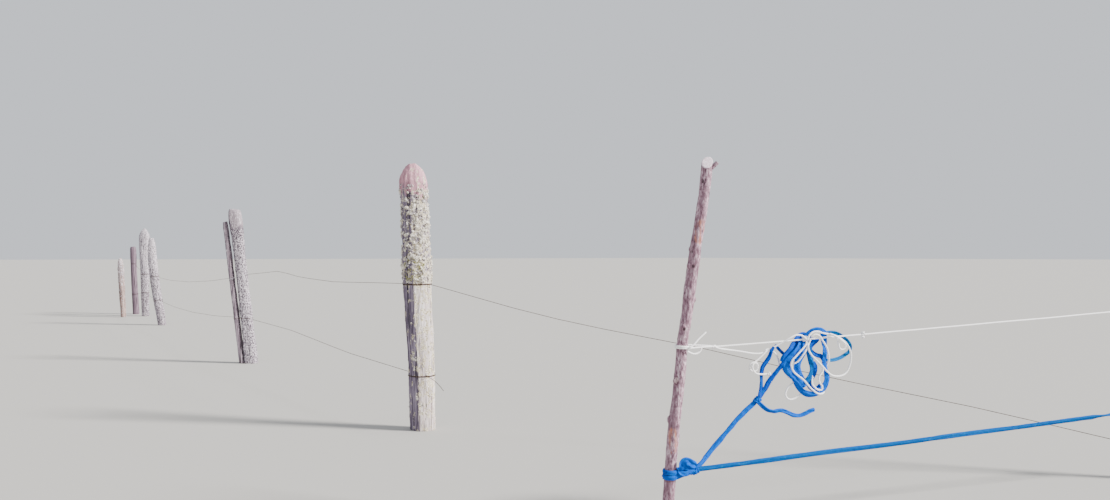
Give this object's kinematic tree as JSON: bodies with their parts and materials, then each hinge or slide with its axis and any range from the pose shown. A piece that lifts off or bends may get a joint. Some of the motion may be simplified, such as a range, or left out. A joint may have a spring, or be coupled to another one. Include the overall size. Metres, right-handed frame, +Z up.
{
  "type": "post and wire fence with rope gateway",
  "caption": "Old pasture fence of hewn posts and slack wire, ending in a rope gateway strung between round stakes, with a hank of spare rope hung on it.",
  "frame": {"origin": "on the underside of the tall post's foot, at ground level", "axes": "+X along the fence line from the tall post towards the near stake, +Y to the side the rope gateway swings to, +Z up"},
  "size_m": [14.1229, 2.7262, 1.526],
  "materials": {
    "lichen_wood": "hewn and weathered, covered with pale lichen",
    "grey_wood": "hewn and weathered grey-violet",
    "smooth_wood": "peeled and weathered mauve-brown",
    "stake_bark": "thin smooth bark with knots, pale saw cut on top",
    "old_wire": "old galvanised wire, dark with rust",
    "bright_wire": "newer galvanised wire",
    "white_cord": "laid cord, frayed at its ends",
    "blue_band": "flat woven plastic band, folded and twisted"
  },
  "bodies": {
    "root": {"tall_post": "lichen_wood", "split_post": "lichen_wood", "split_post_slat": "grey_wood", "leaning_post": "lichen_wood", "pointed_post": "lichen_wood", "round_post": "smooth_wood", "short_post": "lichen_wood", "near_stake": "stake_bark", "near_stake_stub": "stake_bark", "end_stake": "stake_bark", "upper_wire_1": "old_wire", "upper_wire_2": "old_wire", "upper_wire_3": "old_wire", "upper_wire_4": "old_wire", "lower_wire_1": "old_wire", "lower_wire_2": "old_wire", "lower_wire_3": "old_wire", "lower_wire_4": "old_wire", "lower_wire_end": "old_wire", "long_wire": "old_wire", "tall_post_upper_tie": "old_wire", "tall_post_lower_tie": "old_wire", "split_post_upper_tie": "bright_wire", "split_post_lower_tie": "old_wire", "leaning_post_ties": "old_wire", "pointed_post_ties": "old_wire", "round_post_ties": "old_wire", "end_stake_wire_tie": "old_wire", "white_rope": "white_cord", "white_rope_nooses": "white_cord", "white_rope_knots": "white_cord", "white_noose_tail": "white_cord", "white_noose_loop": "white_cord", "blue_band": "blue_band", "blue_band_nooses": "blue_band", "blue_band_knots": "blue_band", "blue_branch": "blue_band", "blue_fork_knot": "blue_band", "blue_left_strand": "blue_band", "blue_right_strand": "blue_band", "blue_tail": "blue_band", "white_slack_strand": "white_cord", "white_curl": "white_cord", "white_lower_loop": "white_cord", "rope_hank": "blue_band"}
  },
  "joints": []
}
